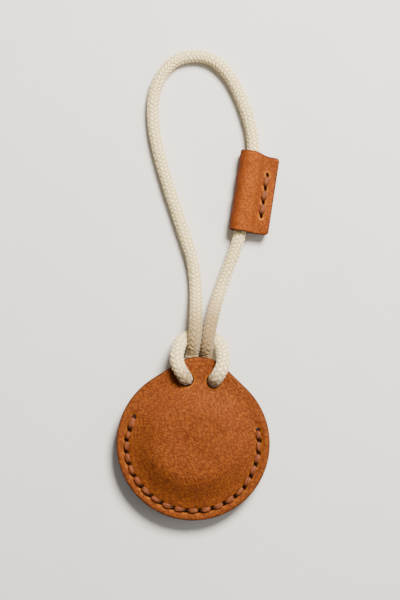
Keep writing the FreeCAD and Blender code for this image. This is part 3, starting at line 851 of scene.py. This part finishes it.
def thread_object(name, stitches, place):
    points = []
    ply_shades = []
    sink_shade = []
    faces = []
    for number, (ring_points, ply_shade, sunk) in enumerate(stitches):
        shift = number * THREAD_RINGS * THREAD_AROUND
        tube = capped_tube_faces(THREAD_RINGS, THREAD_AROUND)
        faces += [[shift + corner for corner in face] for face in tube]
        points.append(ring_points)
        ply_shades.append(ply_shade)
        sink_shade.append(sunk)
    values = {"ply_shade": np.concatenate(ply_shades), "sink_shade": np.concatenate(sink_shade)}
    thread = mesh_object(name, np.concatenate(points) * MM, faces, waxed_thread, values)
    thread.data.transform(place)
    return thread


def fob_stitches(name, seed, turn):
    dice = np.random.default_rng(seed)
    places = [reach * np.array([math.cos(angle), math.sin(angle), 0])
              for angle, reach in slit_places()]
    stitches = []
    for number, (first, second) in enumerate(zip(places, places[1:])):
        upper, lower = (first, second) if first[1] > second[1] else (second, first)
        step = (lower - upper) / np.linalg.norm(lower - upper)
        aside = np.array([step[1], -step[0], 0])
        width = dice.uniform(1.4, 1.6)
        if number == 0:
            width *= 1.25
        stitches.append(stitch(upper + 0.45 * step + dice.uniform(-0.18, 0.18) * aside,
                               lower - 0.1 * step + dice.uniform(-0.15, 0.15) * aside, (0, 0, 1),
                               dice.uniform(1.5, 1.6), width, dice))
    stitches += [peg(place, 0.75, dice) for place in places]
    return thread_object(name, stitches, FOB_PLACE @ turn)


front_stitches = fob_stitches("front_stitches", 5, FRONT)
back_stitches = fob_stitches("back_stitches", 6, BACK)


# ---- the sleeve ------------------------------------------------------------------------

# The sleeve's section, along the middle of its leather: a tube of one radius, some slack, and
# on each side a fold of another radius, centred out and up from the tube's middle.
SLEEVE_LEATHER = 1.3
SLEEVE_MIDDLE = 2.75
SLEEVE_SLACK = 0.9
FOLD_MIDDLE = 3.15
FOLD_OUT = 4.513
FOLD_UP = 3.8
FOLD_CENTRE = (FOLD_OUT + SLEEVE_SLACK, FOLD_UP)
FOLD_LEAN = math.atan2(FOLD_UP, FOLD_OUT)

# The flaps' edge and their line of slits, from the tube's middle, and the slits themselves.
FLAP_EDGE = 9.05
FLAP_STITCH = 5.95
FLAP_PITCH = 4.4
FLAP_SLIT_HALF = 0.42
FLAP_SLIT_RADIUS = 0.31
FLAP_SLIT_SLANT = math.radians(18)

# The CAD sleeve's two sides from its tube's middle, and how far the leather is lifted so that
# its unevenness clears the floor.
SLEEVE_SIDES = (-3.4, 8.8)
SLEEVE_LIFT = 0.00012

# Lengths across the flat strip from its middle, and the radius of its corners.
QUARTER_RUN = SLEEVE_MIDDLE * math.pi / 2
SHOULDER_RUN = SLEEVE_MIDDLE * (math.pi / 2 - FOLD_LEAN)
FOLD_RUN = FOLD_MIDDLE * (math.pi / 2 - FOLD_LEAN)
FLAP_RUN = FLAP_EDGE - FOLD_CENTRE[0]
STRIP_HALF = QUARTER_RUN + SLEEVE_SLACK + SHOULDER_RUN + FOLD_RUN + FLAP_RUN
CORNER = 1.1


def folded(across):
    """Where a place across the strip is on the sleeve's section, and its outward side.

    The strip is measured from its middle: round the tube's back, along its slack, over its
    shoulder, into the fold and along the flap.
    """
    reach = np.abs(across)
    hand = np.where(across < 0, -1.0, 1.0)
    quarter = np.clip(reach, 0, QUARTER_RUN)
    reach = reach - quarter
    slack = np.clip(reach, 0, SLEEVE_SLACK)
    reach = reach - slack
    shoulder = np.clip(reach, 0, SHOULDER_RUN)
    reach = reach - shoulder
    fold = np.clip(reach, 0, FOLD_RUN)
    run = reach - fold
    turn = math.pi - (quarter + shoulder) / SLEEVE_MIDDLE
    bend = math.pi + FOLD_LEAN + fold / FOLD_MIDDLE
    on_tube = fold == 0
    x = np.where(on_tube, SLEEVE_MIDDLE * np.cos(turn) + slack,
                 FOLD_CENTRE[0] + FOLD_MIDDLE * np.cos(bend) + run)
    y = np.where(on_tube, SLEEVE_MIDDLE * np.sin(turn),
                 FOLD_CENTRE[1] + FOLD_MIDDLE * np.sin(bend))
    out_x = np.where(on_tube, np.cos(turn), -np.cos(bend))
    out_y = np.where(on_tube, np.sin(turn), -np.sin(bend))
    return np.stack([x, hand * y], axis=1), np.stack([out_x, hand * out_y], axis=1)


def strip_rim_distance(points):
    """How far points are inside the strip, a rectangle with rounded corners."""
    right = np.abs(points[:, 0]) - STRIP_HALF + CORNER
    up = np.abs(points[:, 1]) - SLEEVE_LENGTH / 2 + CORNER
    outside = np.hypot(np.maximum(right, 0), np.maximum(up, 0))
    return CORNER - outside - np.minimum(np.maximum(right, up), 0)


def strip_outline():
    """The strip's outline, counter-clockwise."""
    width = STRIP_HALF - CORNER
    height = SLEEVE_LENGTH / 2 - CORNER
    loop = []
    for right, up, start in ((1, 1, 0), (-1, 1, 90), (-1, -1, 180), (1, -1, 270)):
        angles = np.radians(np.linspace(start, start + 90, 8))
        loop.append(np.stack([right * width + CORNER * np.cos(angles),
                              up * height + CORNER * np.sin(angles)], axis=1))
    corners = np.concatenate(loop)
    points = []
    for point, following in zip(corners, np.roll(corners, -1, axis=0)):
        steps = max(1, int(np.linalg.norm(following - point) / 0.3))
        share = np.arange(steps)[:, None] / steps
        points.append(point + share * (following - point))
    return np.concatenate(points)


def sleeve_slits():
    slits = []
    line = STRIP_HALF - (FLAP_EDGE - FLAP_STITCH)
    for hand in (-1, 1):
        for place in (-1.5, -0.5, 0.5, 1.5):
            slits.append((hand * line, place * FLAP_PITCH, FLAP_SLIT_HALF, FLAP_SLIT_RADIUS,
                          math.pi / 2 + hand * FLAP_SLIT_SLANT))
    return slits


def sleeve_place():
    """The sleeve's own axes: X towards its flaps, Y along it, Z up."""
    turn = Matrix.Rotation(SLEEVE_TURN, 4, "Z")
    corners = [turn @ Vector((x, y, 0)) for x in SLEEVE_SIDES
               for y in (-SLEEVE_LENGTH / 2, SLEEVE_LENGTH / 2)]
    reach_x = [corner.x for corner in corners]
    reach_y = [corner.y for corner in corners]
    shift = Vector(((min(reach_x) + max(reach_x)) / 2, (min(reach_y) + max(reach_y)) / 2, 0))
    middle = (sleeve_low + sleeve_high) / 2 + SLEEVE_LIFT * UP
    return Matrix.Translation(middle - shift * MM) @ turn


SLEEVE_PLACE = sleeve_place()


def sleeve_wear_and_shade(pattern, out, seed):
    """Burnished edges partly painted shade, dark stains by the flaps' corners, painted shade
    along the crease and down the tube's side away from the flaps, rubbed slits.
    """
    across, along = pattern.flat.T
    ragged = np.clip(1 + 0.5 * ripples(across, along, 2.5, seed + 2), 0.5, 2)
    # burnished edges, partly painted shade; painted shade round and inside the slits
    burnish_and_shade = np.maximum(0.9 * (1 - smooth_step(0.05, 0.55 * ragged, pattern.rim)),
                           0.8 * (1 - smooth_step(0.02, 0.2, pattern.opening)))
    corner = smooth_step(2.5, 7.0, out) * smooth_step(3, 10, np.abs(along))
    # painted shade along the crease between tube and flap
    crease_shade = hump(out - 3.9, 1.2)
    patchy = smooth_step(-1.2, 0.7, ripples(across, along, 1.1, seed + 5))
    worn = hump(np.maximum(pattern.opening, 0), 0.7)
    # painted shade down the tube's side away from the flaps
    flank_shade = 0.8 * smooth_step(-0.3, -2.5, out)
    # real stains by the corners and painted shade in the crease, patchy and cleared round the
    # slits
    stain_and_shade = 0.95 * np.maximum(corner, 0.9 * crease_shade) * patchy * (1 - worn)
    stain_and_shade = np.maximum(stain_and_shade, flank_shade)
    rubbed = 0.8 * hump(np.maximum(pattern.opening, 0) - 0.25, 0.4)
    return {"burnish_and_shade": (burnish_and_shade, 1.0), "stain_and_shade": (stain_and_shade, 0.0), "rubbed": (rubbed, 0.0)}


def leather_sleeve(name, seed):
    pattern = Pattern(strip_outline(), strip_rim_distance, sleeve_slits(), 0.24, seed)
    across, along = pattern.flat.T
    middle, outward = folded(across)
    swell = 0.07 * ripples(across, along, 7, seed) + 0.02 * ripples(across, along, 2.4, seed + 1)
    thick = SLEEVE_LEATHER / 2 + swell * smooth_step(0, 2.5, pattern.rim)
    thick -= 0.14 * hump(np.maximum(pattern.opening, 0), 0.5)
    thick -= rounded_edge(np.maximum(pattern.rim, 0), 0.45)
    thick -= rounded_edge(np.maximum(pattern.opening, 0), 0.22)
    thin = SLEEVE_LEATHER / 2 - rounded_edge(pattern.edge, 0.2)
    wander = 0.06 * ripples(across, along * 0.2, 9, seed + 3)
    flap = smooth_step(0.5, 6.0, middle[:, 0])
    forward = along * (1.02 - 0.044 * flap) + 0.25 - 0.6 * flap + wander

    def surface(depth):
        section = middle + outward * depth[:, None]
        return np.stack([section[:, 0], forward, section[:, 1]], axis=1)

    return leather_sheet(name, pattern, surface(thick), surface(-thin), SLEEVE_PLACE,
                         sleeve_leather, sleeve_wear_and_shade(pattern, middle[:, 0], seed))


def sleeve_stitches(name, seed):
    dice = np.random.default_rng(seed)
    slits = [np.array([FLAP_STITCH, place * FLAP_PITCH - 0.35, 0])
             for place in (1.5, 0.5, -0.5, -1.5)]
    stitches = []
    for face in (1, -1):
        for upper, lower in zip(slits, slits[1:]):
            stitches.append(stitch(upper + np.array([0.1, -0.75, 0]),
                                   lower + np.array([-0.1, 0.1, 0]), (0, 0, face),
                                   dice.uniform(1.45, 1.55), dice.uniform(1.75, 1.9), dice))
    stitches += [peg(slit, 0.6, dice) for slit in slits]
    return thread_object(name, stitches, SLEEVE_PLACE)


sleeve = leather_sleeve("folded_sleeve", 83)
sleeve_stitching = sleeve_stitches("sleeve_stitches", 9)


# ---- the tag inside the fob ------------------------------------------------------------

tag_materials = {
    "tag_shell": hard_material("white_plastic", colour(0.78, 0.78, 0.76),
                               colour(0.70, 0.70, 0.68), 0.35, 0.0, 300),
    "tag_cover": hard_material("brushed_steel", colour(0.62, 0.61, 0.60),
                               colour(0.45, 0.45, 0.45), 0.28, 1.0, 600),
    "coin_cell": hard_material("nickel_steel", colour(0.66, 0.64, 0.60),
                               colour(0.52, 0.50, 0.47), 0.22, 1.0, 500),
    "cell_contact": hard_material("spring_brass", colour(0.70, 0.46, 0.16),
                                  colour(0.52, 0.32, 0.10), 0.3, 1.0, 500),
    "circuit_board": hard_material("board_lacquer", colour(0.02, 0.12, 0.05),
                                   colour(0.03, 0.18, 0.08), 0.4, 0.0, 400),
    "sounder": hard_material("sounder_brass", colour(0.62, 0.44, 0.20),
                             colour(0.50, 0.34, 0.14), 0.35, 1.0, 500),
}
for node, material in tag_materials.items():
    slots = frame["nodes"][node].data.materials
    slots.clear()
    slots.append(material)


# ---- riding and standing in ------------------------------------------------------------

for piece in (front, back, front_stitches, back_stitches):
    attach(piece, "fob")
for piece in (sleeve, sleeve_stitching):
    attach(piece, "loop")
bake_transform(cord)

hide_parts("front_panel")
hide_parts("back_panel")
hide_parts("fob_thread")
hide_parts("cord_hitch", "cord_long_side", "cord_short_side")
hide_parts("cord_sleeve")
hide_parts("sleeve_thread")


# ---- camera, light and floor -----------------------------------------------------------

# The camera looks straight down on the keychain, rolled a little.
CAMERA_HEIGHT = 0.5
FRAME_HEIGHT = 0.190
CAMERA_ROLL = math.radians(6)
FRAMING = Vector((-0.0016, -0.0048, 0))

low, high = (Vector(corner) for corner in cad_box)
target = Vector(((low.x + high.x) / 2, (low.y + high.y) / 2, 0)) + FRAMING

camera_data = bpy.data.cameras.new("camera")
camera_data.sensor_fit = "VERTICAL"
camera_data.sensor_height = 24.0
camera_data.lens = camera_data.sensor_height * CAMERA_HEIGHT / FRAME_HEIGHT
camera = bpy.data.objects.new("camera", camera_data)
camera.matrix_world = (Matrix.Translation(target + Vector((0, 0, CAMERA_HEIGHT)))
                       @ Matrix.Rotation(CAMERA_ROLL, 4, "Z"))
bpy.context.scene.collection.objects.link(camera)
bpy.context.scene.camera = camera


def area_light(name, place, power, width, tint):
    data = bpy.data.lights.new(name, "AREA")
    data.shape = "DISK"
    data.size = width
    data.energy = power
    data.color = tint
    light = bpy.data.objects.new(name, data)
    light.location = target + Vector(place)
    light.rotation_euler = (-Vector(place)).to_track_quat("-Z", "Y").to_euler()
    bpy.context.scene.collection.objects.link(light)


def soft_world():
    world = bpy.data.worlds.new("studio")
    world.use_nodes = True
    background = world.node_tree.nodes["Background"]
    background.inputs["Color"].default_value = (1.0, 0.98, 0.96, 1.0)
    background.inputs["Strength"].default_value = 0.29
    bpy.context.scene.world = world


def pale_floor():
    shader = Shader("floor_paper")
    cloud = shader.noise(shader.place((60, 60, 60)), 1.0, 3.0, 0.5)
    shader.set(Base_Color=shader.mix(cloud, colour(0.62, 0.60, 0.57),
                                     colour(0.66, 0.64, 0.61)))
    shader.set(Roughness=0.8)
    size = 3.0
    corners = [(-size, -size, 0), (size, -size, 0), (size, size, 0), (-size, size, 0)]
    floor = mesh_object("floor", corners, [(0, 1, 2, 3)], shader.material)
    floor.location.z = -0.00002


area_light("window", (0.17, 0.40, 0.54), 19.5, 0.26, (1.0, 0.955, 0.88))
area_light("fill", (0.6, 0.1, 0.5), 1.5, 0.6, (1.0, 0.96, 0.90))
soft_world()
pale_floor()
